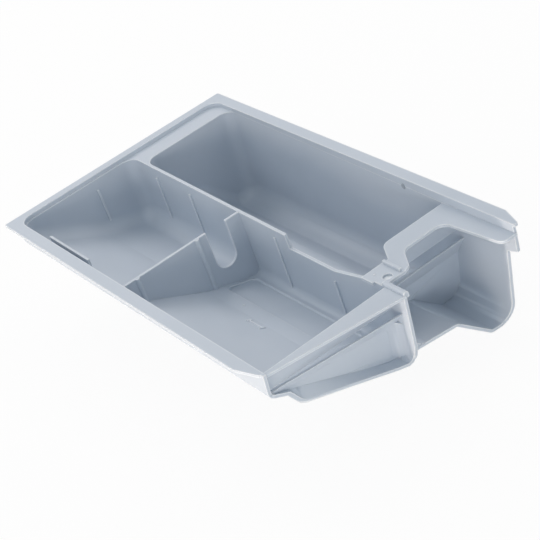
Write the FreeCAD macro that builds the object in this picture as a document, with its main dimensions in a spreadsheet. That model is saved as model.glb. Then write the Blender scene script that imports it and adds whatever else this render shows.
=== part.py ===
import FreeCAD, Part
import os
import Sketcher
from FreeCAD import Vector, Rotation, Placement

# Detergent dispenser drawer: one moulded tray with a long main compartment,
# a rear and a mid compartment beside it, and open pockets at the outlet end.
# X runs from the closed end to the outlet end, Y from the low side to the deep
# side, Z is up, and Z = 0 is the top of the rim until the body is placed.

doc = FreeCAD.newDocument("dispenser_drawer")
sheet = doc.addObject("Spreadsheet::Sheet", "Sizes")

SIZES = [
    ("tray_length", 308.4),
    ("tray_width", 175.0),
    ("tray_depth", 71.4),
    ("wall", 2.0),
    ("wall_thin", 1.6),
    ("overcut", 6.0),
    ("rim_thick", 1.8),
    ("rim_near", 8.0),
    ("rim_far", 7.6),
    ("rim_end", 6.4),
    ("rim_round", 9.0),
    ("near_lead", 17.3),
    ("near_lead_in", 5.3),
    ("far_lead", 14.8),
    ("far_lead_in", 4.9),
    ("tip_round", 1.2),
    ("ledge_drop", 2.8),
    ("ledge_thick", 1.8),
    ("inner_drop", 6.0),
    ("main_start", 22.6),
    ("rear_start", 7.3),
    ("main_width", 77.9),
    ("main_floor_width", 30.2),
    ("main_fall", 2.0),
    ("trough_sink", 24.8),
    ("trough_width", 15.4),
    ("trough_round", 10.4),
    ("trough_crease", 3.0),
    ("far_lean", 2.4),
    ("main_round", 8.0),
    ("near_wall_drop", 15.5),
    ("near_sink", 3.2),
    ("gutter_width", 12.2),
    ("gutter_fall", 1.9),
    ("slope_width", 27.1),
    ("slope_fall", 8.1),
    ("rear_round", 9.0),
    ("mid_round", 4.0),
    ("partition_x", 136.0),
    ("notch_gap", 18.8),
    ("notch_width", 14.9),
    ("notch_sill", 16.4),
    ("outlet_back", 19.4),
    ("outlet_skew", 3.8),
    ("outlet_lean", 0.18),
    ("dip_long", 46.0),
    ("dip_rise", 31.0),
    ("dip_drop", 14.4),
    ("far_pocket", 31.5),
    ("far_weir_lean", 0.222),
    ("far_slot_top", 22.3),
    ("far_slot_high", 11.7),
    ("neck_gap", 4.0),
    ("far_lip_out", 1.5),
    ("far_lip_rise", 8.6),
    ("near_weir_back", 1.7),
    ("near_weir_skew", 3.2),
    ("near_weir_lean", 0.13),
    ("slot_top_low_side", 12.6),
    ("slot_top_divider", 20.4),
    ("slot_low_low_side", 16.2),
    ("slot_low_divider", 29.5),
    ("low_side_lip_back", 0.5),
    ("low_side_lip_rise", 2.6),
    ("divider_lip_out", 1.3),
    ("divider_lip_rise", 8.5),
    ("pocket_gap", 11.0),
    ("pocket_step", 7.0),
    ("pocket_step_drop", 32.6),
    ("bend_share", 0.8),
    ("pocket_sink", 4.2),
    ("pocket_round", 2.0),
    ("corner_round", 8.0),
    ("corner_sink", 0.1),
    ("flange_thick", 1.8),
    ("flange_back", 11.5),
    ("flange_band", 15.0),
    ("flange_leg_gap", 24.5),
    ("flange_leg_width", 3.5),
    ("flange_far_width", 13.6),
    ("flange_tip_width", 9.8),
    ("flange_tip_back", 0.6),
    ("flange_round", 5.0),
    ("bend_round", 7.0),
    ("neck_round", 4.0),
    ("neck_in", 1.6),
    ("plate_back", 29.0),
    ("plate_long", 18.0),
    ("plate_lap", 2.5),
    ("plate_width", 17.2),
    ("plate_lug", 10.0),
    ("plate_step", 2.0),
    ("wedge_out", 7.5),
    ("wedge_rise", 4.2),
    ("latch_inset", 5.0),
    ("latch_gap", 6.1),
    ("latch_bore", 5.6),
    ("latch_depth", 1.3),
    ("ridge_height", 2.0),
    ("ridge_width", 2.2),
    ("ridge_round", 0.7),
    ("ridge_inset", 1.0),
    ("clip_width", 3.4),
    ("clip_height", 1.8),
    ("clip_out", 0.6),
    ("nose_out", 1.0),
    ("nose_lean", 0.145),
    ("nose_foot", 6.0),
    ("ear_back", 2.6),
    ("ear_drop", 19.1),
    ("ear_root_drop", 25.6),
    ("rib_width", 1.2),
    ("rib_out", 1.1),
    ("rib_drop", 10.3),
    ("rear_rib_gap", 28.7),
    ("rear_rib_pitch", 40.8),
    ("mid_rib_gap", 36.2),
    ("mid_rib_pitch", 55.0),
    ("mid_rib_step", 11.6),
    ("end_rib_gap", 31.9),
    ("end_rib_long", 24.3),
    ("guide_round", 1.5),
    ("guide_near_gap", 11.8),
    ("guide_far_gap", 33.2),
    ("bar_gap", 29.7),
    ("bar_long", 50.0),
    ("bar_inset", 6.0),
    ("bar_thick", 1.5),
    ("bar_drop", 4.4),
    ("pad_gap", 3.3),
    ("pad_back", 39.0),
    ("pad_width", 15.3),
    ("pad_out", 3.9),
    ("pad_sink", 0.9),
    ("pad_flare", 1.2),
    ("pad_near_sink", 1.9),
    ("pad_near_flare", 0.6),
    ("pad_round", 3.5),
]

# Places that follow from the sizes
PLACES = [
    ("far_wall", "tray_width - rim_far"),
    ("divider_mid", "tray_width - main_width"),
    ("main_floor", "tray_depth - trough_sink"),
    ("fold_y", "divider_mid + main_floor_width"),
    ("fold_drop", "main_floor + main_fall"),
    ("fold_shift", "0.4 * wall"),
    ("slope_shift", "0.2 * wall"),
    ("low_side_shift", "0.8 * wall"),
    ("round_spare", "wall / 4"),
    ("trough_far", "far_wall - far_lean"),
    ("trough_y", "trough_far - trough_width"),
    ("near_floor", "main_floor + near_sink"),
    ("gutter_y", "divider_mid - gutter_width"),
    ("gutter_drop", "near_floor - gutter_fall"),
    ("slope_y", "gutter_y - slope_width"),
    ("slope_drop", "gutter_drop - slope_fall"),
    ("notch_y", "divider_mid - notch_gap"),
    ("notch_drop", "near_floor - notch_sill"),
    ("outlet_x", "tray_length - outlet_back"),
    ("outlet_divider_x", "outlet_x + divider_mid * tan(outlet_skew * 1 deg)"),
    ("plate_start", "outlet_x - plate_back"),
    ("plate_end", "plate_start + plate_long"),
    ("plate_near", "divider_mid - plate_lap"),
    ("plate_far", "plate_near + plate_width"),
    ("plate_tail", "2.4 * wall"),
    ("dip_end", "plate_start - dip_rise"),
    ("dip_start", "dip_end - dip_long"),
    ("far_weir_x", "outlet_x - far_pocket"),
    ("far_slot_low", "far_slot_top + far_slot_high"),
    ("far_reach", "6 * wall"),
    ("far_lip_root", "2.5 * wall"),
    ("near_weir_x", "outlet_x - near_weir_back"),
    ("weir_divider_x", "near_weir_x - (divider_mid - rim_near) * tan(near_weir_skew * 1 deg)"),
    ("near_reach", "12 * wall"),
    ("near_lip_root", "1.6 * wall"),
    ("pocket_y", "rim_near + pocket_gap"),
    ("step_y", "pocket_y + pocket_step"),
    ("slope_rate", "(slope_drop - near_wall_drop) / (slope_y - rim_near)"),
    ("pocket_foot", "near_wall_drop + pocket_gap * slope_rate"),
    ("step_foot", "pocket_foot + pocket_step * slope_rate"),
    ("mouth_rate", "(gutter_drop + pocket_sink - pocket_step_drop) / (gutter_y - step_y)"),
    ("arc_near", "1 - cos(30 deg)"),
    ("arc_far", "1 - sin(30 deg)"),
    ("foot_step_x", "near_weir_x - pocket_gap * tan(near_weir_skew * 1 deg) - near_weir_lean * pocket_foot"),
    ("foot_toe_x", "weir_divider_x - near_weir_lean * (near_floor + pocket_sink)"),
    ("foot_turn", "(foot_step_x - foot_toe_x) / (divider_mid - pocket_y)"),
    ("foot_x", "foot_step_x + foot_turn * pocket_y"),
    ("mouth_step_x", "outlet_x + (step_y + overcut) * tan(outlet_skew * 1 deg)"
     " - outlet_lean * pocket_step_drop"),
    ("mouth_toe_x", "outlet_x + (divider_mid + overcut) * tan(outlet_skew * 1 deg)"
     " - outlet_lean * (near_floor + pocket_sink)"),
    ("mouth_turn", "(mouth_toe_x - mouth_step_x) / (divider_mid - step_y)"),
    ("mouth_x", "mouth_step_x - mouth_turn * step_y"),
    ("flange_start", "far_weir_x - flange_back"),
    ("flange_inner", "flange_start + flange_band"),
    ("flange_leg_y", "divider_mid + flange_leg_gap"),
    ("flange_tip", "tray_length - flange_tip_back"),
    ("ear_tip", "tray_length - ear_back"),
    ("wedge_tip", "outlet_x + wedge_out"),
    ("wedge_tail", "0.4 * wall"),
    ("latch_x", "plate_end - latch_inset"),
    ("latch_y", "divider_mid + latch_gap"),
    ("clip_round", "0.3 * clip_width"),
    ("bar_start", "rear_start + bar_gap"),
    ("end_rib_y", "divider_mid - end_rib_gap"),
    ("pad_near", "gutter_y - pad_width"),
    ("pad_far", "gutter_y + pad_out"),
    ("pad_near_floor", "gutter_drop - pad_width * slope_fall / slope_width"),
    ("pad_far_floor", "gutter_drop + pad_out * gutter_fall / gutter_width"),
    ("pad_start", "partition_x + pad_gap"),
    ("pad_end", "outlet_x - pad_back"),
]
for row, (alias, content) in enumerate(SIZES + PLACES, start=1):
    sheet.set("A%d" % row, alias)
    sheet.set("B%d" % row, str(content) if row <= len(SIZES) else "=" + content)
    sheet.setAlias("B%d" % row, alias)
doc.recompute()
size = {alias: float(sheet.get(alias)) for alias, content in SIZES + PLACES}


def bind(text):
    """Write a formula of size names as an expression on the sheet."""
    words = []
    word = ""
    for letter in text + " ":
        if letter.isalnum() or letter == "_":
            word += letter
        else:
            words.append("Sizes." + word if word in size else word)
            words.append(letter)
            word = ""
    return "".join(words).strip()


def new_body(name):
    return doc.addObject("PartDesign::Body", name)


def plane_of(body, role):
    return [f for f in body.Origin.OriginFeatures if f.Role == role][0]


def new_sketch(body, name, role, offset=("0", "0", "0"), turn=None):
    """Attach a sketch to an origin plane; turn is (local axis, angle formula)."""
    sketch = body.newObject("Sketcher::SketchObject", name)
    sketch.AttachmentSupport = [(plane_of(body, role), "")]
    sketch.MapMode = "FlatFace"
    if turn:
        sketch.AttachmentOffset = Placement(Vector(), Rotation(turn[0], 1.0))
        sketch.setExpression(".AttachmentOffset.Rotation.Angle", bind(turn[1]))
    for axis, formula in zip("xyz", offset):
        if formula != "0":
            sketch.setExpression(".AttachmentOffset.Base." + axis, bind(formula))
    return sketch


def hold(sketch, kind, geo, pos, formula):
    index = sketch.addConstraint(Sketcher.Constraint(kind, -1, 1, geo, pos, 1.0))
    sketch.setExpression("Constraints[%d]" % index, bind(formula))


def polygon(sketch, corners):
    """Draw a closed outline whose corners are held by formulas of the sizes."""
    count = len(corners)
    ring = [Vector(10, 0, 0)]
    for step in range(1, count):
        ring.append(Rotation(Vector(0, 0, 1), 360.0 * step / count).multVec(ring[0]))
    for step in range(count):
        sketch.addGeometry(Part.LineSegment(ring[step], ring[(step + 1) % count]))
    for step in range(count):
        sketch.addConstraint(Sketcher.Constraint("Coincident", step, 2, (step + 1) % count, 1))
    for step, (across, up) in enumerate(corners):
        hold(sketch, "DistanceX", step, 1, across)
        hold(sketch, "DistanceY", step, 1, up)


def circle(sketch, across, up, radius):
    sketch.addGeometry(Part.Circle(Vector(1, 1, 0), Vector(0, 0, 1), 2.0))
    hold(sketch, "DistanceX", 0, 3, across)
    hold(sketch, "DistanceY", 0, 3, up)
    index = sketch.addConstraint(Sketcher.Constraint("Radius", 0, 2.0))
    sketch.setExpression("Constraints[%d]" % index, bind(radius))


def pad(body, sketch, length, back=False):
    feature = body.newObject("PartDesign::Pad", sketch.Name + "_pad")
    feature.Profile = sketch
    feature.Reversed = back
    feature.setExpression("Length", bind(length))
    sketch.Visibility = False
    doc.recompute()
    return feature


def along(edge, axis):
    line = edge.tangentAt(edge.FirstParameter)
    return edge.Curve.TypeId == "Part::GeomLine" and abs(abs(line.dot(axis)) - 1.0) < 1e-4


def edges_where(feature, test):
    return ["Edge%d" % (i + 1) for i, e in enumerate(feature.Shape.Edges) if test(e)]


def round_edges(body, name, test, radius):
    base = body.Tip
    feature = body.newObject("PartDesign::Fillet", name)
    feature.Base = (base, edges_where(base, test))
    feature.setExpression("Radius", bind(radius))
    doc.recompute()
    return feature


def at(edge, **spot):
    """True when the middle of an edge lies at the given coordinates."""
    middle = edge.CenterOfMass
    return all(abs(getattr(middle, k) - v) < 0.02 for k, v in spot.items())


def fuse(name, shapes):
    feature = doc.addObject("Part::MultiFuse", name)
    feature.Shapes = shapes
    feature.Refine = True
    doc.recompute()
    return feature


def cut(name, base, tool):
    feature = doc.addObject("Part::Cut", name)
    feature.Base = base
    feature.Tool = tool
    feature.Refine = True
    doc.recompute()
    return feature


AX = Vector(1, 0, 0)
AY = Vector(0, 1, 0)
AZ = Vector(0, 0, 1)
RUN = "tray_length + overcut"

# Outer form of the deep main compartment, from its end wall to the outlet
far_outer = new_body("far_outer")
outline = new_sketch(far_outer, "far_outer_profile", "YZ_Plane", ("0", "0", "main_start - wall"))
polygon(outline, [
    ("divider_mid - wall / 2", "0"),
    ("divider_mid - wall / 2", "-main_floor - wall"),
    ("fold_y - fold_shift", "-fold_drop - wall"),
    ("trough_y - fold_shift", "-tray_depth"),
    ("trough_far + wall", "-tray_depth"),
    ("far_wall + wall", "0"),
])
pad(far_outer, outline, RUN + " - main_start + wall")
round_edges(far_outer, "far_outer_trough", lambda e: along(e, AX) and at(
    e, y=size["trough_far"] + size["wall"], z=-size["tray_depth"]), "trough_round + wall")
round_edges(far_outer, "far_outer_crease", lambda e: along(e, AX) and at(
    e, y=size["trough_y"] - size["fold_shift"], z=-size["tray_depth"]), "trough_crease + wall")

# Outer form of the rear and mid compartments, which share one sloping floor
near_outer = new_body("near_outer")
outline = new_sketch(near_outer, "near_outer_profile", "YZ_Plane", ("0", "0", "rear_start - wall"))
polygon(outline, [
    ("rim_near - wall", "0"),
    ("rim_near - wall", "-near_wall_drop - low_side_shift"),
    ("slope_y - slope_shift", "-slope_drop - wall"),
    ("gutter_y", "-gutter_drop - wall"),
    ("divider_mid + wall / 2", "-near_floor - wall"),
    ("divider_mid + wall / 2", "0"),
])
pad(near_outer, outline, RUN + " - rear_start + wall")
round_edges(near_outer, "near_outer_heel", lambda e: along(e, AX) and at(
    e, y=size["rim_near"] - size["wall"],
    z=-size["near_wall_drop"] - size["low_side_shift"]), "mid_round + wall")

# Ledge block behind the step of the closed end
end_block = new_body("end_block")
outline = new_sketch(end_block, "end_block_plan", "XY_Plane", ("0", "0", "-ledge_drop - ledge_thick"))
polygon(outline, [
    ("rim_end - wall", "rim_near - wall"),
    ("main_start", "rim_near - wall"),
    ("main_start", "far_wall + wall"),
    ("rim_end - wall", "far_wall + wall"),
])
pad(end_block, outline, "ledge_drop + ledge_thick")
round_edges(end_block, "end_block_corners", lambda e: along(e, AZ) and at(
    e, x=size["rim_end"] - size["wall"]), "rim_round + wall")

# Core of the main compartment, with its fold, trough and rounded end
far_core = new_body("far_core")
outline = new_sketch(far_core, "far_core_profile", "YZ_Plane", ("0", "0", "main_start"))
polygon(outline, [
    ("divider_mid + wall / 2", "overcut"),
    ("divider_mid + wall / 2", "-main_floor"),
    ("fold_y", "-fold_drop"),
    ("trough_y", "wall - tray_depth"),
    ("trough_far", "wall - tray_depth"),
    ("far_wall", "0"),
    ("far_wall", "overcut"),
])
pad(far_core, outline, RUN + " - main_start")
low = size["wall"] - size["tray_depth"]
round_edges(far_core, "far_core_trough", lambda e: along(e, AX) and at(
    e, y=size["trough_far"], z=low), "trough_round")
round_edges(far_core, "far_core_crease", lambda e: along(e, AX) and at(
    e, y=size["trough_y"], z=low), "trough_crease")
round_edges(far_core, "far_core_folds", lambda e: along(e, AX) and (
    at(e, y=size["fold_y"], z=-size["fold_drop"])
    or at(e, y=size["divider_mid"] + size["wall"] / 2, z=-size["main_floor"])), "main_round + round_spare")
round_edges(far_core, "far_core_end", lambda e: at(e, x=size["main_start"])
            and not at(e, z=size["overcut"]), "main_round")

# Core of the rear compartment
rear_core = new_body("rear_core")
outline = new_sketch(rear_core, "rear_core_profile", "YZ_Plane", ("0", "0", "rear_start"))
NEAR_FLOOR = [
    ("rim_near", "overcut"),
    ("rim_near", "-near_wall_drop"),
    ("slope_y", "-slope_drop"),
    ("gutter_y", "-gutter_drop"),
    ("divider_mid - wall / 2", "-near_floor"),
    ("divider_mid - wall / 2", "overcut"),
]
polygon(outline, NEAR_FLOOR)
pad(rear_core, outline, "partition_x - wall_thin - rear_start")
heel = dict(y=size["rim_near"], z=-size["near_wall_drop"])
toe = dict(y=size["divider_mid"] - size["wall"] / 2, z=-size["near_floor"])
round_edges(rear_core, "rear_core_floor", lambda e: along(e, AX) and (
    at(e, **heel) or at(e, **toe)), "rear_round + round_spare")
round_edges(rear_core, "rear_core_end", lambda e: at(e, x=size["rear_start"])
            and not at(e, z=size["overcut"]), "rear_round")

# Core of the mid compartment, open to the outlet
mid_core = new_body("mid_core")
outline = new_sketch(mid_core, "mid_core_profile", "YZ_Plane", ("0", "0", "partition_x"))
polygon(outline, NEAR_FLOOR)
pad(mid_core, outline, RUN + " - partition_x")
round_edges(mid_core, "mid_core_floor", lambda e: along(e, AX) and (
    at(e, **heel) or at(e, **toe)), "mid_round")

# Recess inside the rim, which sets the sloping top line of every inner wall
recess = new_body("recess")
outline = new_sketch(recess, "recess_profile", "XZ_Plane", ("0", "0", "-rim_near"))
polygon(outline, [
    ("rim_end", "overcut"),
    ("rim_end", "-ledge_drop"),
    (RUN, "-ledge_drop - (inner_drop - ledge_drop) * (" + RUN + " - rim_end) / (plate_start - rim_end)"),
    (RUN, "overcut"),
])
pad(recess, outline, "far_wall - rim_near", back=True)
round_edges(recess, "recess_corners", lambda e: along(e, AZ) and at(e, x=size["rim_end"]), "rim_round")

# Low stretch in the top of the divider
dip = new_body("dip")
outline = new_sketch(dip, "dip_profile", "XZ_Plane", ("0", "0", "-divider_mid + wall"))
polygon(outline, [
    ("dip_start", "overcut"),
    ("dip_start + wall", "-dip_drop"),
    ("dip_end", "-dip_drop"),
    ("plate_start", "-inner_drop - flange_thick"),
    ("plate_start", "overcut"),
])
pad(dip, outline, "2 * wall", back=True)

# Skewed and leaning cut that ends the walls and floors at the outlet
outlet = new_body("outlet")
outline = new_sketch(outlet, "outlet_profile", "XZ_Plane", ("outlet_x", "0", "overcut"),
                     (AY, "-outlet_skew"))
polygon(outline, [
    ("outlet_lean * overcut", "overcut"),
    ("-outlet_lean * (tray_depth + overcut)", "-tray_depth - overcut"),
    ("tray_length", "-tray_depth - overcut"),
    ("tray_length", "overcut"),
])
pad(outlet, outline, "2 * tray_width", back=True)

# Stretch of the deep side wall that stays in front of the outlet as an ear
ear = new_body("ear")
outline = new_sketch(ear, "ear_profile", "XZ_Plane", ("0", "0", "wall - far_wall"))
polygon(outline, [
    ("plate_end", "2 * overcut"),
    ("tray_length - rim_thick", "2 * overcut"),
    ("tray_length - rim_thick", "-inner_drop"),
    ("ear_tip", "-ear_drop"),
    ("plate_end", "-ear_root_drop"),
])
pad(ear, outline, "2 * wall + rim_thick", back=True)

# Edge of the divider, which stands a little further out than the floors
nose = new_body("nose")
outline = new_sketch(nose, "nose_profile", "XZ_Plane", ("0", "0", "-divider_mid + wall / 2"))
polygon(outline, [
    ("plate_end", "2 * overcut"),
    ("outlet_divider_x + nose_out", "2 * overcut"),
    ("outlet_divider_x + nose_out", "0"),
    ("outlet_divider_x + nose_out - nose_lean * (near_floor - nose_foot)", "nose_foot - near_floor"),
    ("mouth_toe_x", "-near_floor - pocket_sink"),
    ("plate_end", "-near_floor - pocket_sink"),
])
pad(nose, outline, "wall", back=True)
outlet_cut = cut("outlet_cut", outlet, fuse("outlet_kept", [ear, nose]))

# Leaning wall across the main compartment, with a slot below its upper part,
# cut lower beside the plate
far_slab = new_body("far_slab")
outline = new_sketch(far_slab, "far_slab_profile", "XZ_Plane", ("far_weir_x", "0", "-divider_mid"))
polygon(outline, [
    ("-far_weir_lean * inner_drop", "-inner_drop - flange_thick / 2"),
    ("-far_weir_lean * (tray_depth + overcut)", "-tray_depth - overcut"),
    ("-far_weir_lean * (tray_depth + overcut) - wall", "-tray_depth - overcut"),
    ("-far_weir_lean * inner_drop - wall", "-inner_drop - flange_thick / 2"),
])
pad(far_slab, outline, "tray_width - divider_mid", back=True)
far_slot = new_body("far_slot")
outline = new_sketch(far_slot, "far_slot_profile", "YZ_Plane", ("0", "0", "far_weir_x - far_reach"))
polygon(outline, [
    ("divider_mid - wall", "-far_slot_low"),
    ("tray_width", "-far_slot_low"),
    ("tray_width", "-far_slot_top"),
    ("divider_mid - wall", "-far_slot_top"),
])
pad(far_slot, outline, "far_reach + 2 * wall")
far_neck = new_body("far_neck")
outline = new_sketch(far_neck, "far_neck_profile", "YZ_Plane", ("0", "0", "far_weir_x - far_reach"))
polygon(outline, [
    ("divider_mid - wall", "-inner_drop - flange_thick - neck_gap"),
    ("flange_leg_y", "-inner_drop - flange_thick - neck_gap"),
    ("flange_leg_y", "overcut"),
    ("divider_mid - wall", "overcut"),
])
pad(far_neck, outline, "far_reach + 2 * wall")
far_weir = cut("far_weir", far_slab, fuse("far_weir_gaps", [far_slot, far_neck]))

# Flared lip on the lower part of that wall
far_lip = new_body("far_lip")
LIP_ROOT = "far_weir_x - far_weir_lean * (far_slot_low + wall) - wall / 2"
outline = new_sketch(far_lip, "far_lip_profile", "XZ_Plane", ("0", "0", "-divider_mid"))
polygon(outline, [
    ("far_weir_x + far_lip_out", "far_lip_rise - far_slot_low"),
    (LIP_ROOT, "-far_slot_low - far_lip_root"),
    (LIP_ROOT, "-far_slot_low"),
    ("far_weir_x + far_lip_out - wall", "far_lip_rise - far_slot_low"),
])
pad(far_lip, outline, "tray_width - divider_mid", back=True)

# The same wall in the mid compartment, skewed, with a slot that widens
LEAN_FOOT = "-near_weir_lean * (tray_depth + overcut)"
FOOT = "-tray_depth - overcut"


def weir_solid(name, front, rear):
    """Solid between two parallel faces that lean and turn with the near weir."""
    body = new_body(name)
    sketch = new_sketch(body, name + "_profile", "XZ_Plane", ("near_weir_x", "0", "-rim_near"),
                        (AY, "near_weir_skew"))
    polygon(sketch, [
        (front, "0"),
        (LEAN_FOOT + " + " + front, FOOT),
        (LEAN_FOOT + " + " + rear, FOOT),
        (rear, "0"),
    ])
    pad(body, sketch, "divider_mid", back=True)
    return body


near_slab = weir_solid("near_slab", "0", "-wall")
near_slot = new_body("near_slot")
outline = new_sketch(near_slot, "near_slot_profile", "YZ_Plane", ("0", "0", "near_weir_x - near_reach"))
polygon(outline, [
    ("rim_near - overcut", "-slot_low_low_side"),
    ("divider_mid + wall", "-slot_low_divider"),
    ("divider_mid + wall", "-slot_top_divider"),
    ("rim_near - overcut", "-slot_top_low_side"),
])
pad(near_slot, outline, "near_reach + 2 * wall")
near_top = new_body("near_top")
outline = new_sketch(near_top, "near_top_profile", "YZ_Plane", ("0", "0", "near_weir_x - near_reach"))
polygon(outline, [
    ("rim_near", "wedge_rise - inner_drop - wall_thin / 2"),
    ("divider_mid + wall", "-inner_drop - wall_thin / 2"),
    ("divider_mid + wall", "overcut"),
    ("rim_near - overcut", "overcut"),
    ("rim_near - overcut", "wedge_rise - inner_drop - wall_thin / 2"),
])
pad(near_top, outline, "near_reach + 2 * wall")
beyond_divider = new_body("beyond_divider")
outline = new_sketch(beyond_divider, "beyond_divider_plan", "XY_Plane", ("0", "0", FOOT))
polygon(outline, [
    ("partition_x", "divider_mid"),
    (RUN, "divider_mid"),
    (RUN, "2 * tray_width"),
    ("partition_x", "2 * tray_width"),
])
pad(beyond_divider, outline, "tray_depth + 2 * overcut")
near_weir = cut("near_weir", near_slab, fuse("near_weir_gaps", [near_slot, near_top, beyond_divider]))

# Flared lip of the mid compartment, lofted because it widens to the divider
near_lip = new_body("near_lip")
ends = []
for name, place, tip, rise, root, low_edge in [
    ("low_side_lip", "rim_near - wall / 2", "near_weir_x - low_side_lip_back", "low_side_lip_rise",
     "near_weir_x - near_weir_lean * slot_low_low_side - wall / 2", "slot_low_low_side"),
    ("divider_lip", "divider_mid", "near_weir_x + divider_lip_out", "divider_lip_rise",
     "weir_divider_x - near_weir_lean * slot_low_divider - wall / 2", "slot_low_divider"),
]:
    outline = new_sketch(near_lip, name + "_profile", "XZ_Plane", ("0", "0", "-(" + place + ")"))
    polygon(outline, [
        (tip, rise + " - " + low_edge),
        (root, "-" + low_edge + " - near_lip_root"),
        (root, "-" + low_edge),
        (tip + " - wall_thin", rise + " - " + low_edge),
    ])
    ends.append(outline)
doc.recompute()
loft = near_lip.newObject("PartDesign::AdditiveLoft", "near_lip_loft")
loft.Profile = ends[0]
loft.Sections = [ends[1]]
loft.Ruled = True
doc.recompute()

# Chute in front of that weir, from the sloping floor down to a stepped mouth


def chute(name, grow, inner):
    """Loft between the floor line at the weir's foot and the stepped line at the mouth."""
    body = new_body(name)
    foot = new_sketch(body, name + "_foot", "YZ_Plane", ("0", "0", "foot_x - " + grow),
                      (AY, "atan(foot_turn)"))
    mouth = new_sketch(body, name + "_mouth", "YZ_Plane", ("0", "0", "mouth_x"), (AY, "-atan(mouth_turn)"))
    round_in = "(mid_round + " + grow + ")"
    toe = "near_floor + pocket_sink"
    for sketch, turn, bend, rate, slope_line in [
        (foot, "foot_turn", "step_foot", "slope_rate", "slope_drop"),
        (mouth, "mouth_turn", "pocket_step_drop", "mouth_rate",
         "pocket_step_drop + mouth_rate * (slope_y - step_y)"),
    ]:
        line = [
            ("pocket_y - " + grow, "near_wall_drop - " + grow),
            ("pocket_y - " + grow, "pocket_foot"),
            ("pocket_y + bend_share * pocket_step - " + grow,
             "(1 - bend_share) * pocket_foot + bend_share * (" + bend + ")"),
            ("step_y + pocket_round - " + grow, bend + " + " + rate + " * pocket_round"),
            ("slope_y", slope_line),
            ("gutter_y", "gutter_drop + pocket_sink"),
            (inner + " - " + round_in, toe),
            (inner + " - arc_far * " + round_in, toe + " - arc_near * " + round_in),
            (inner + " - arc_near * " + round_in, toe + " - arc_far * " + round_in),
            (inner, toe + " - " + round_in),
            (inner, "near_wall_drop - " + grow),
        ]
        polygon(sketch, [("(" + across + ") / cos(atan(" + turn + "))", "-(" + drop + " + " + grow + ")")
                         for across, drop in line])
    doc.recompute()
    loft = body.newObject("PartDesign::AdditiveLoft", name + "_loft")
    loft.Profile = foot
    loft.Sections = [mouth]
    loft.Ruled = True
    doc.recompute()
    pad(body, mouth, "2 * overcut")
    return body


chute_outer = chute("chute_outer", "wall", "divider_mid + wall / 2")
chute_core = chute("chute_core", "0", "divider_mid - wall / 2")

# Rounded corner between the front of that weir and the divider
beyond_face = new_body("beyond_face")
outline = new_sketch(beyond_face, "beyond_face_plan", "XY_Plane", ("0", "0", FOOT + " - overcut"))
polygon(outline, [
    ("partition_x", "divider_mid - wall / 2 + corner_sink"),
    ("3 * tray_length", "divider_mid - wall / 2 + corner_sink"),
    ("3 * tray_length", "2 * tray_width"),
    ("partition_x", "2 * tray_width"),
])
pad(beyond_face, outline, "tray_depth + 4 * overcut")
ahead = new_body("ahead")
ahead.BaseFeature = cut("ahead_block", weir_solid("ahead_weir", "tray_length", "-corner_sink"), beyond_face)
doc.recompute()
aside = size["divider_mid"] - size["wall"] / 2 + size["corner_sink"]
round_edges(ahead, "ahead_corner", lambda e: at(e, y=aside) and e.CenterOfMass.x < size["tray_length"]
            and abs(e.tangentAt(e.FirstParameter).z) > 0.5, "corner_round")
above_lip = new_body("above_lip")
outline = new_sketch(above_lip, "above_lip_profile", "YZ_Plane", ("0", "0", "near_weir_x - near_reach"))
polygon(outline, [
    ("rim_near - overcut", "-slot_low_low_side"),
    ("divider_mid + wall", "-slot_low_divider"),
    ("divider_mid + wall", "overcut"),
    ("rim_near - overcut", "overcut"),
])
pad(above_lip, outline, "2 * near_reach")
corner_block = weir_solid("corner_block", "corner_round", "-wall / 2")
corner = cut("corner", corner_block, fuse("corner_gaps", [ahead, above_lip, beyond_divider]))

# Thin ribs on the divider and the end wall, and the free-standing bar
ribs = []
for name, place, top in [
    ("rear_rib_1", "rear_start + rear_rib_gap", "rib_drop"),
    ("rear_rib_2", "rear_start + rear_rib_gap + rear_rib_pitch", "rib_drop"),
    ("mid_rib_1", "partition_x + mid_rib_gap", "rib_drop"),
    ("mid_rib_2", "partition_x + mid_rib_gap + mid_rib_pitch", "rib_drop + mid_rib_step"),
]:
    rib = new_body(name)
    outline = new_sketch(rib, name + "_face", "XZ_Plane", ("0", "0", "-divider_mid"))
    polygon(outline, [
        (place + " - rib_width / 2", "-(" + top + ")"),
        (place + " + rib_width / 2", "-(" + top + ")"),
        (place + " + rib_width / 2", "-near_floor"),
        (place + " - rib_width / 2", "-near_floor"),
    ])
    pad(rib, outline, "wall / 2 + rib_out")
    ribs.append(rib)
end_rib = new_body("end_rib")
outline = new_sketch(end_rib, "end_rib_face", "YZ_Plane", ("0", "0", "rear_start - wall / 2"))
polygon(outline, [
    ("end_rib_y - rib_width / 2", "-rib_drop"),
    ("end_rib_y + rib_width / 2", "-rib_drop"),
    ("end_rib_y + rib_width / 2", "-rib_drop - end_rib_long"),
    ("end_rib_y - rib_width / 2", "-rib_drop - end_rib_long"),
])
pad(end_rib, outline, "wall / 2 + rib_out")
bar = new_body("bar")
outline = new_sketch(bar, "bar_face", "XZ_Plane", ("0", "0", "-rim_near - bar_inset"))
polygon(outline, [
    ("bar_start", "-bar_drop"),
    ("bar_start + bar_long", "-bar_drop"),
    ("bar_start + bar_long", "-slope_drop"),
    ("bar_start", "-slope_drop"),
])
pad(bar, outline, "bar_thick")
guides = []
for name, place in [
    ("guide_near", "rim_near + guide_near_gap"),
    ("guide_far", "divider_mid - guide_far_gap"),
]:
    guide = new_body(name)
    outline = new_sketch(guide, name + "_round", "XY_Plane", ("0", "0", "-near_floor"))
    circle(outline, "partition_x", place, "guide_round")
    pad(guide, outline, "near_floor")
    guides.append(guide)
kept = fuse("kept_in_cores", [far_weir, far_lip, near_weir, near_lip, corner, end_rib, bar] + ribs + guides)
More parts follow.
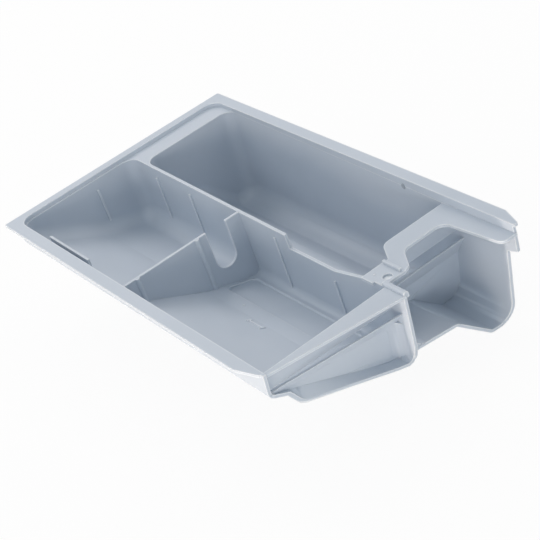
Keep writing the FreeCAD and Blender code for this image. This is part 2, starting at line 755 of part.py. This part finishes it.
cores = fuse("cores", [far_core, rear_core, mid_core, chute_core])
hollows = cut("hollows", cores, kept)
recess_cut = cut("recess_cut", recess, near_weir)

# Rounded notch in the partition between the rear and mid compartments
notch = new_body("notch")
outline = new_sketch(notch, "notch_sides", "YZ_Plane", ("0", "0", "partition_x - 2 * wall_thin"))
polygon(outline, [
    ("notch_y - notch_width / 2", "notch_width / 2 - notch_drop"),
    ("notch_y + notch_width / 2", "notch_width / 2 - notch_drop"),
    ("notch_y + notch_width / 2", "overcut"),
    ("notch_y - notch_width / 2", "overcut"),
])
pad(notch, outline, "3 * wall_thin")
outline = new_sketch(notch, "notch_foot", "YZ_Plane", ("0", "0", "partition_x - 2 * wall_thin"))
circle(outline, "notch_y", "notch_width / 2 - notch_drop", "notch_width / 2")
pad(notch, outline, "3 * wall_thin")

# Long sunk panel in the sloping floor of the mid compartment, with flared sides
# and a raised back, so that the floor keeps its thickness
panel = new_body("panel")
outline = new_sketch(panel, "panel_profile", "YZ_Plane", ("0", "0", "pad_start"))
polygon(outline, [
    ("pad_near", "-pad_near_floor - pad_near_sink"),
    ("pad_far", "-pad_far_floor - pad_sink"),
    ("pad_far + 2 * pad_flare", "-pad_far_floor + pad_sink"),
    ("pad_near - 2 * pad_near_flare", "-pad_near_floor + pad_near_sink"),
])
pad(panel, outline, "pad_end - pad_start")
round_edges(panel, "panel_corners", lambda e: abs(e.tangentAt(e.FirstParameter).z) > 0.4, "pad_round")
panel_back = new_body("panel_back")
outline = new_sketch(panel_back, "panel_back_profile", "YZ_Plane", ("0", "0", "pad_start - wall"))
polygon(outline, [
    ("pad_near - wall", "-pad_near_floor - pad_near_sink - wall"),
    ("pad_far + wall", "-pad_far_floor - pad_sink - wall"),
    ("pad_far + wall", "-pad_far_floor - wall / 2"),
    ("pad_near - wall", "-pad_near_floor - wall / 2"),
])
pad(panel_back, outline, "pad_end - pad_start + 2 * wall")

outer = fuse("outer", [far_outer, near_outer, end_block, chute_outer, panel_back])
removed = fuse("removed", [hollows, recess_cut, dip, outlet_cut, notch, panel])
shell = cut("shell", outer, removed)

# Flat rim on three sides, with chamfered ends that lead the drawer in
rim = new_body("rim")
outline = new_sketch(rim, "rim_plan", "XY_Plane", ("0", "0", "-rim_thick"))
polygon(outline, [
    ("0", "0"),
    ("near_weir_x - near_lead", "0"),
    ("near_weir_x", "near_lead_in"),
    ("near_weir_x", "rim_near"),
    ("rim_end", "rim_near"),
    ("rim_end", "far_wall"),
    ("tray_length", "far_wall"),
    ("tray_length", "tray_width - far_lead_in"),
    ("tray_length - far_lead", "tray_width"),
    ("0", "tray_width"),
])
pad(rim, outline, "rim_thick")
round_edges(rim, "rim_corners", lambda e: along(e, AZ) and (
    at(e, x=size["rim_end"], y=size["rim_near"])
    or at(e, x=size["rim_end"], y=size["far_wall"])), "rim_round")
round_edges(rim, "rim_tips", lambda e: along(e, AZ) and (
    at(e, x=size["tray_length"], y=size["tray_width"] - size["far_lead_in"])
    or at(e, x=size["near_weir_x"], y=size["near_lead_in"])
    or at(e, x=0.0)), "tip_round")

# Flange over the main compartment's outlet and the plate on the divider
flange = new_body("flange")
outline = new_sketch(flange, "flange_plan", "XY_Plane", ("0", "0", "-inner_drop - flange_thick"))
polygon(outline, [
    ("plate_start", "plate_near"),
    ("plate_start", "plate_far"),
    ("plate_start + neck_in", "plate_far + neck_in"),
    ("flange_start", "flange_leg_y"),
    ("flange_start", "far_wall + wall / 2"),
    ("flange_tip", "far_wall + wall / 2"),
    ("flange_tip", "far_wall - flange_tip_width"),
    ("flange_inner", "far_wall - flange_far_width"),
    ("flange_inner", "flange_leg_y + flange_leg_width"),
    ("plate_end - wall", "plate_far + plate_tail"),
    ("plate_end", "plate_far"),
    ("plate_end", "plate_near + plate_step"),
    ("plate_start + plate_lug", "plate_near + plate_step"),
    ("plate_start + plate_lug", "plate_near"),
])
pad(flange, outline, "flange_thick")
round_edges(flange, "flange_corner", lambda e: along(e, AZ) and at(
    e, x=size["flange_tip"], y=size["far_wall"] - size["flange_tip_width"]), "flange_round")
round_edges(flange, "flange_bends", lambda e: along(e, AZ) and (
    at(e, x=size["flange_start"], y=size["flange_leg_y"]) or at(e, x=size["flange_inner"])), "bend_round")
round_edges(flange, "flange_neck", lambda e: along(e, AZ) and at(
    e, x=size["plate_end"] - size["wall"]), "neck_round")
round_edges(flange, "flange_notch", lambda e: along(e, AZ) and at(
    e, x=size["plate_start"] + size["neck_in"]), "neck_in")

# Tilted wedge over the mid compartment's outlet
wedge = new_body("wedge")
outline = new_sketch(wedge, "wedge_plan", "XY_Plane", ("0", "divider_mid", "-inner_drop"),
                     (AX, "-atan(wedge_rise / (divider_mid - rim_near))"))
polygon(outline, [
    ("near_weir_x - wall", "rim_near - wall / 2 - divider_mid"),
    ("near_weir_x + wedge_tail", "rim_near - wall / 2 - divider_mid"),
    ("wedge_tip", "0"),
    ("weir_divider_x - near_weir_lean * inner_drop - wall", "0"),
])
pad(wedge, outline, "wall_thin", back=True)

# Ridges that guide the latch on the plate
ridge = new_body("ridge")
outline = new_sketch(ridge, "ridge_plan", "XY_Plane", ("0", "0", "-inner_drop - flange_thick / 2"))
polygon(outline, [
    ("plate_start + ridge_inset", "plate_far - ridge_width"),
    ("plate_end - wall", "plate_far - ridge_width"),
    ("plate_end - wall", "plate_far"),
    ("plate_start + ridge_inset", "plate_far"),
])
pad(ridge, outline, "flange_thick / 2 + ridge_height")
round_edges(ridge, "ridge_top", lambda e: along(e, AX) and e.CenterOfMass.z > -size["inner_drop"],
            "ridge_round")
clip = new_body("clip")
outline = new_sketch(clip, "clip_plan", "XY_Plane", ("0", "0", "-inner_drop - flange_thick"))
polygon(outline, [
    ("plate_end - ridge_inset", "divider_mid - wall / 2"),
    ("outlet_divider_x + clip_out", "divider_mid - wall / 2"),
    ("outlet_divider_x + clip_out", "divider_mid - wall / 2 + clip_width"),
    ("plate_end - ridge_inset", "divider_mid - wall / 2 + clip_width"),
])
pad(clip, outline, "flange_thick + clip_height")
round_edges(clip, "clip_top", lambda e: along(e, AX) and e.CenterOfMass.z > -size["inner_drop"],
            "clip_round")

# Round seat for the latch, sunk in the plate
latch = new_body("latch")
outline = new_sketch(latch, "latch_round", "XY_Plane", ("0", "0", "-inner_drop - latch_depth"))
circle(outline, "latch_x", "latch_y", "latch_bore / 2")
pad(latch, outline, "latch_depth + flange_thick")

joined = fuse("joined", [shell, rim, flange, wedge, ridge, clip])
tray = cut("drawer_tray", joined, latch)
tray.Label = "drawer_tray"
tray.setExpression(".Placement.Base.x", bind("-tray_length / 2"))
tray.setExpression(".Placement.Base.y", bind("-tray_width / 2"))
tray.setExpression(".Placement.Base.z", bind("tray_depth"))
doc.recompute()

for thing in doc.Objects:
    if "Invalid" in thing.State or "Error" in thing.State:
        raise RuntimeError("feature failed: " + thing.Name)
shape = tray.Shape
if shape.isNull() or not shape.isValid() or len(shape.Solids) != 1:
    raise RuntimeError("the tray is not one valid solid")
os.makedirs("parts", exist_ok=True)
shape.exportStep("parts/" + tray.Label + ".step")
box = shape.BoundBox
print("drawer_tray", round(shape.Volume / 1000.0, 1), "cm3", len(shape.Faces), "faces")
print("box", round(box.XLength, 2), round(box.YLength, 2), round(box.ZLength, 2))
print("corner", round(box.XMin, 2), round(box.YMin, 2), round(box.ZMin, 2))
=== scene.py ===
from math import cos, pi, sin

import bmesh
import bpy
from mathutils import Matrix, Vector


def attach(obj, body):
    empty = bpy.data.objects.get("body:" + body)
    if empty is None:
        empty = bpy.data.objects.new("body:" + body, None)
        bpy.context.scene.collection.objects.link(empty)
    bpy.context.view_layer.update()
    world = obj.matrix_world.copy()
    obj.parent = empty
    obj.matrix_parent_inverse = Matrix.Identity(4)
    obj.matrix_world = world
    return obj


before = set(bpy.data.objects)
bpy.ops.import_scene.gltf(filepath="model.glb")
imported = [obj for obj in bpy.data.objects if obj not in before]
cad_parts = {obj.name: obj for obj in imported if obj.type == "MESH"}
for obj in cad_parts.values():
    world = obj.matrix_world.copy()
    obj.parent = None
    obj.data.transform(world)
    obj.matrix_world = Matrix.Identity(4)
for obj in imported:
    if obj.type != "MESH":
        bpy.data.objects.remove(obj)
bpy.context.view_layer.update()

# The tray is one injection moulding in a satin, cool light grey plastic, most likely
# polypropylene. A spark eroded tool gives such a finely matt skin, and every edge
# that its steel closes on keeps a small natural radius.
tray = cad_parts["drawer_tray"]
TRAY_GREY = (0.515, 0.578, 0.655, 1.0)
TRAY_GREY_LIGHT = (0.555, 0.615, 0.690, 1.0)
# The pale colour below is a painted highlight, mixed into the base colour at convex and thin edges.
EDGE_HIGHLIGHT_PAINT = (0.80, 0.84, 0.88, 1.0)
EDGE_HIGHLIGHT_REACH = 0.0009
NO_HIGHLIGHT_ABOVE = 0.95
FULL_HIGHLIGHT_BELOW = 0.45
EDGE_ROUND = 0.0004
CLOUD_SCALE = 14.0
ROUGHNESS_RANGE = (0.46, 0.56)
GRAIN_SCALE = 2600.0
GRAIN_STRENGTH = 0.10
GRAIN_DEPTH = 0.00006
PLASTIC_IOR = 1.49
SCATTER_SHARE = 0.10
SCATTER_RADIUS = (1.0, 1.0, 1.1)
SCATTER_DEPTH = 0.0012
WELD_REACH = 0.00002


def moulded_plastic(name, dark, light, edge_highlight_paint):
    """Satin moulded plastic: faint flow clouds, a painted highlight that makes convex and thin edges
    paler, a fine eroded skin and uneven gloss.
    """
    skin = bpy.data.materials.new(name)
    skin.use_nodes = True
    nodes = skin.node_tree.nodes
    links = skin.node_tree.links
    shader = nodes["Principled BSDF"]
    shader.inputs["IOR"].default_value = PLASTIC_IOR
    shader.inputs["Subsurface Weight"].default_value = SCATTER_SHARE
    shader.inputs["Subsurface Radius"].default_value = SCATTER_RADIUS
    shader.inputs["Subsurface Scale"].default_value = SCATTER_DEPTH
    place = nodes.new("ShaderNodeTexCoord")

    clouds = nodes.new("ShaderNodeTexNoise")
    clouds.inputs["Scale"].default_value = CLOUD_SCALE
    clouds.inputs["Detail"].default_value = 4.0
    clouds.inputs["Distortion"].default_value = 0.8
    links.new(place.outputs["Object"], clouds.inputs["Vector"])
    tint = nodes.new("ShaderNodeValToRGB")
    tint.color_ramp.elements[0].position = 0.3
    tint.color_ramp.elements[0].color = dark
    tint.color_ramp.elements[1].position = 0.7
    tint.color_ramp.elements[1].color = light
    links.new(clouds.outputs["Fac"], tint.inputs["Fac"])
    # Painted highlight: an inside occlusion probe finds convex and thin edges, and the pale colour is
    # mixed into the base colour there.
    edge_probe = nodes.new("ShaderNodeAmbientOcclusion")
    edge_probe.inside = True
    edge_probe.only_local = True
    edge_probe.samples = 6
    edge_probe.inputs["Distance"].default_value = EDGE_HIGHLIGHT_REACH
    highlight_amount = nodes.new("ShaderNodeMapRange")
    highlight_amount.inputs["From Min"].default_value = NO_HIGHLIGHT_ABOVE
    highlight_amount.inputs["From Max"].default_value = FULL_HIGHLIGHT_BELOW
    links.new(edge_probe.outputs["AO"], highlight_amount.inputs["Value"])
    painted_highlight = nodes.new("ShaderNodeMix")
    painted_highlight.data_type = "RGBA"
    painted_highlight.inputs["B"].default_value = edge_highlight_paint
    links.new(highlight_amount.outputs["Result"], painted_highlight.inputs["Factor"])
    links.new(tint.outputs["Color"], painted_highlight.inputs["A"])
    links.new(painted_highlight.outputs["Result"], shader.inputs["Base Color"])

    gloss = nodes.new("ShaderNodeMapRange")
    gloss.inputs["To Min"].default_value = ROUGHNESS_RANGE[0]
    gloss.inputs["To Max"].default_value = ROUGHNESS_RANGE[1]
    links.new(clouds.outputs["Fac"], gloss.inputs["Value"])
    links.new(gloss.outputs["Result"], shader.inputs["Roughness"])

    edge = nodes.new("ShaderNodeBevel")
    edge.samples = 6
    edge.inputs["Radius"].default_value = EDGE_ROUND
    grain = nodes.new("ShaderNodeTexNoise")
    grain.inputs["Scale"].default_value = GRAIN_SCALE
    grain.inputs["Detail"].default_value = 3.0
    links.new(place.outputs["Object"], grain.inputs["Vector"])
    fine = nodes.new("ShaderNodeBump")
    fine.inputs["Strength"].default_value = GRAIN_STRENGTH
    fine.inputs["Distance"].default_value = GRAIN_DEPTH
    links.new(grain.outputs["Fac"], fine.inputs["Height"])
    links.new(edge.outputs["Normal"], fine.inputs["Normal"])
    links.new(fine.outputs["Normal"], shader.inputs["Normal"])
    return skin


tray_skin = moulded_plastic("satin_grey_moulding", TRAY_GREY, TRAY_GREY_LIGHT, EDGE_HIGHLIGHT_PAINT)
tray.data.materials.clear()
tray.data.materials.append(tray_skin)
weld = tray.modifiers.new("closed_skin", "WELD")
weld.merge_threshold = WELD_REACH

# The compartment numeral stands on the sloping floor of the middle compartment.
# It is cut into the tool, so it is raised in the same grey plastic as the floor,
# a stroke with a short bar across each end.
NUMERAL_PLACE = Vector((0.0412, -0.0335, 0.03345))
FLOOR_NORMAL = Vector((0.0, 0.4386, 0.8987))
NUMERAL_HALF_LENGTH = 0.0074
NUMERAL_HALF_WIDTH = 0.0019
NUMERAL_STROKE = 0.0010
NUMERAL_HEIGHT = 0.0006
SUNK = 0.00005
NUMERAL_DRAFT = ((0.00015, -SUNK), (0.00005, NUMERAL_HEIGHT * 0.8), (-0.00008, NUMERAL_HEIGHT))
# The marks get a weaker painted highlight on their convex and thin edges than the tray.
MARK_EDGE_HIGHLIGHT_PAINT = (0.70, 0.75, 0.81, 1.0)
mark_skin = moulded_plastic("raised_mark", TRAY_GREY, TRAY_GREY_LIGHT, MARK_EDGE_HIGHLIGHT_PAINT)


def place_piece(name, form, spot, normal, skin):
    """Set a formed mesh on the moulding, its own z along the surface normal and its x along the tray."""
    across = normal.cross(Vector((1.0, 0.0, 0.0))).normalized()
    stand = Matrix((across.cross(normal), across, normal)).transposed().to_4x4()
    form.transform(Matrix.Translation(spot) @ stand)
    bmesh.ops.recalc_face_normals(form, faces=form.faces)
    mesh = bpy.data.meshes.new(name)
    form.to_mesh(mesh)
    form.free()
    piece = bpy.data.objects.new(name, mesh)
    bpy.context.scene.collection.objects.link(piece)
    mesh.materials.append(skin)
    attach(piece, "root")


def stroke_outline(grow):
    """Corners of a stroke with a bar across each end, grown all round for the draft."""
    end = NUMERAL_HALF_LENGTH + grow
    bar = NUMERAL_HALF_LENGTH - NUMERAL_STROKE - grow
    side = NUMERAL_HALF_WIDTH + grow
    stem = NUMERAL_STROKE / 2 + grow
    return [
        (-end, -side), (-bar, -side), (-bar, -stem), (bar, -stem), (bar, -side), (end, -side),
        (end, side), (bar, side), (bar, stem), (-bar, stem), (-bar, side), (-end, side),
    ]


numeral = bmesh.new()
rings = [
    [numeral.verts.new((x, y, height)) for x, y in stroke_outline(grow)]
    for grow, height in NUMERAL_DRAFT
]
for lower, upper in zip(rings, rings[1:]):
    for i in range(len(lower)):
        j = (i + 1) % len(lower)
        numeral.faces.new((lower[i], lower[j], upper[j], upper[i]))
numeral.faces.new(rings[0])
numeral.faces.new(rings[-1])
place_piece("numeral_one", numeral, NUMERAL_PLACE, FLOOR_NORMAL, mark_skin)

# Small round marks were left by the mould: the scar where the gate was broken off
# high on the far wall, a pip on the latch plate and one at the head of the floor.
# They are the same plastic; the scar is painted a darker grey as the shade in its pit.
SCAR_PAINTED_SHADE = (0.36, 0.41, 0.47, 1.0)
SCAR_PAINTED_SHADE_LIGHT = (0.42, 0.47, 0.54, 1.0)
scar_shade_skin = moulded_plastic("gate_scar_painted_shade", SCAR_PAINTED_SHADE, SCAR_PAINTED_SHADE_LIGHT, SCAR_PAINTED_SHADE)
ROUND_STEPS = 24


def turned_mark(name, profile, spot, normal, skin):
    """A small closed round form from radius and height pairs, with its foot sunk in the moulding."""
    form = bmesh.new()
    angles = [2 * pi * k / ROUND_STEPS for k in range(ROUND_STEPS)]
    turns = [
        [form.verts.new((radius * cos(angle), radius * sin(angle), height)) for angle in angles]
        for radius, height in profile
    ]
    for lower, upper in zip(turns, turns[1:]):
        for k in range(ROUND_STEPS):
            m = (k + 1) % ROUND_STEPS
            form.faces.new((lower[k], lower[m], upper[m], upper[k]))
    form.faces.new(turns[0])
    form.faces.new(turns[-1])
    for face in form.faces:
        face.smooth = True
    place_piece(name, form, spot, normal, skin)


GATE_PROFILE = [
    (0.0019, -SUNK), (0.0018, 0.00008), (0.0014, 0.00028),
    (0.0011, 0.00030), (0.0008, 0.00012), (0.0004, 0.00010),
]
PIP_PROFILE = [(0.0009, -SUNK), (0.0008, 0.00012), (0.0006, 0.00022), (0.0003, 0.00025)]
for mark, profile, spot, normal, skin in [
    ("gate_scar_painted_shade", GATE_PROFILE, (0.0562, 0.0797, 0.06557), (0.0, -0.9994, 0.0346), scar_shade_skin),
    ("plate_pip", PIP_PROFILE, (0.11085, 0.01281, 0.0654), (0.0, 0.0, 1.0), mark_skin),
    ("floor_pip", PIP_PROFILE, (0.01303, -0.02391, 0.02987), (0.0, 0.2864, 0.9581), mark_skin),
]:
    turned_mark(mark, profile, Vector(spot), Vector(normal), skin)

# The studio is a plain white floor under soft light: white air all round, a wide box
# above the closed end and above each long side, and low boxes that light the outlets
# and the shallow side.
FLOOR_WHITE = (0.92, 0.92, 0.92, 1.0)
FLOOR_GLOW = 0.93
FLOOR_ROUGHNESS = 0.9
FLOOR_HALF = 6.0
FLOOR_DROP = 0.0005
PURE_WHITE = (1.0, 1.0, 1.0, 1.0)


def seen_directly(nodes, links):
    """One where a ray comes straight from the camera, a reflection or a clear body, and else zero."""
    path = nodes.new("ShaderNodeLightPath")
    first = nodes.new("ShaderNodeMath")
    first.operation = "MAXIMUM"
    links.new(path.outputs["Is Camera Ray"], first.inputs[0])
    links.new(path.outputs["Is Glossy Ray"], first.inputs[1])
    last = nodes.new("ShaderNodeMath")
    last.operation = "MAXIMUM"
    links.new(first.outputs["Value"], last.inputs[0])
    links.new(path.outputs["Is Transmission Ray"], last.inputs[1])
    return last.outputs["Value"]


floor_mesh = bpy.data.meshes.new("floor")
floor_form = bmesh.new()
bmesh.ops.create_grid(floor_form, x_segments=1, y_segments=1, size=FLOOR_HALF)
floor_form.to_mesh(floor_mesh)
floor_form.free()
floor = bpy.data.objects.new("floor", floor_mesh)
floor.location.z = -FLOOR_DROP
bpy.context.scene.collection.objects.link(floor)
floor_skin = bpy.data.materials.new("white_floor")
floor_skin.use_nodes = True
floor_nodes = floor_skin.node_tree.nodes
floor_links = floor_skin.node_tree.links
paper = floor_nodes["Principled BSDF"]
paper.inputs["Base Color"].default_value = FLOOR_WHITE
paper.inputs["Roughness"].default_value = FLOOR_ROUGHNESS
glow = floor_nodes.new("ShaderNodeEmission")
glow.inputs["Color"].default_value = PURE_WHITE
share = floor_nodes.new("ShaderNodeMath")
share.operation = "MULTIPLY"
share.inputs[1].default_value = FLOOR_GLOW
floor_links.new(seen_directly(floor_nodes, floor_links), share.inputs[0])
lit = floor_nodes.new("ShaderNodeMixShader")
floor_links.new(share.outputs["Value"], lit.inputs["Fac"])
floor_links.new(paper.outputs["BSDF"], lit.inputs[1])
floor_links.new(glow.outputs["Emission"], lit.inputs[2])
floor_links.new(lit.outputs["Shader"], floor_nodes["Material Output"].inputs["Surface"])
floor_mesh.materials.append(floor_skin)

AIR_COLOUR = (0.90, 0.96, 1.0, 1.0)
AIR_STRENGTH = 0.46
world = bpy.data.worlds.new("white_air")
bpy.context.scene.world = world
world.use_nodes = True
air_nodes = world.node_tree.nodes
air_links = world.node_tree.links
air = air_nodes["Background"]
air.inputs["Color"].default_value = AIR_COLOUR
air.inputs["Strength"].default_value = AIR_STRENGTH
backdrop = air_nodes.new("ShaderNodeBackground")
backdrop.inputs["Color"].default_value = PURE_WHITE
backdrop.inputs["Strength"].default_value = 1.0
air_lit = air_nodes.new("ShaderNodeMixShader")
air_links.new(seen_directly(air_nodes, air_links), air_lit.inputs["Fac"])
air_links.new(air.outputs["Background"], air_lit.inputs[1])
air_links.new(backdrop.outputs["Background"], air_lit.inputs[2])
air_links.new(air_lit.outputs["Shader"], air_nodes["World Output"].inputs["Surface"])


def soft_lamp(name, place, aim, width, power, colour):
    """A square soft box that faces a point of the tray."""
    lamp = bpy.data.lights.new(name, "AREA")
    lamp.size = width
    lamp.energy = power
    lamp.color = colour
    holder = bpy.data.objects.new(name, lamp)
    holder.location = place
    holder.rotation_euler = (Vector(aim) - Vector(place)).to_track_quat("-Z", "Y").to_euler()
    bpy.context.scene.collection.objects.link(holder)


TRAY_MIDDLE = (0.0, 0.0, 0.03)
NEUTRAL = (1.0, 1.0, 1.0)
WARM = (1.0, 0.92, 0.88)
WARMER = (1.0, 0.84, 0.70)
soft_lamp("back_box", (-1.0, 0.12, 1.1), TRAY_MIDDLE, 0.9, 6.5, WARM)
soft_lamp("far_box", (0.0, 1.0, 1.1), TRAY_MIDDLE, 0.9, 3.9, WARM)
soft_lamp("near_box", (0.0, -1.0, 1.1), TRAY_MIDDLE, 0.9, 2.5, NEUTRAL)
soft_lamp("low_corner_box", (0.75, -1.2, 0.15), TRAY_MIDDLE, 0.5, 5.5, WARMER)
soft_lamp("low_front_box", (1.4, -0.6, 0.10), TRAY_MIDDLE, 0.4, 4.8, NEUTRAL)
soft_lamp("low_side_box", (0.1, -1.4, 0.032), TRAY_MIDDLE, 0.06, 8.5, WARMER)

# The camera stands at the outlet end, above the shallow side, and leans over
# to the left, because the tray was laid tilted when it was pictured.
CAMERA_PLACE = Vector((0.7864, -0.3588, 0.5666))
CAMERA_RIGHT = Vector((0.5611, 0.7726, -0.2973))
CAMERA_UP = Vector((-0.2993, 0.5242, 0.7973))
CAMERA_SENSOR = 36.0
CAMERA_LENS = 112.06
eye = bpy.data.cameras.new("camera")
eye.sensor_width = CAMERA_SENSOR
eye.lens = CAMERA_LENS
camera = bpy.data.objects.new("camera", eye)
turn = Matrix((CAMERA_RIGHT, CAMERA_UP, CAMERA_RIGHT.cross(CAMERA_UP))).transposed()
camera.matrix_world = Matrix.Translation(CAMERA_PLACE) @ turn.to_4x4()
bpy.context.scene.collection.objects.link(camera)
bpy.context.scene.camera = camera
bpy.context.scene.view_settings.view_transform = "Standard"
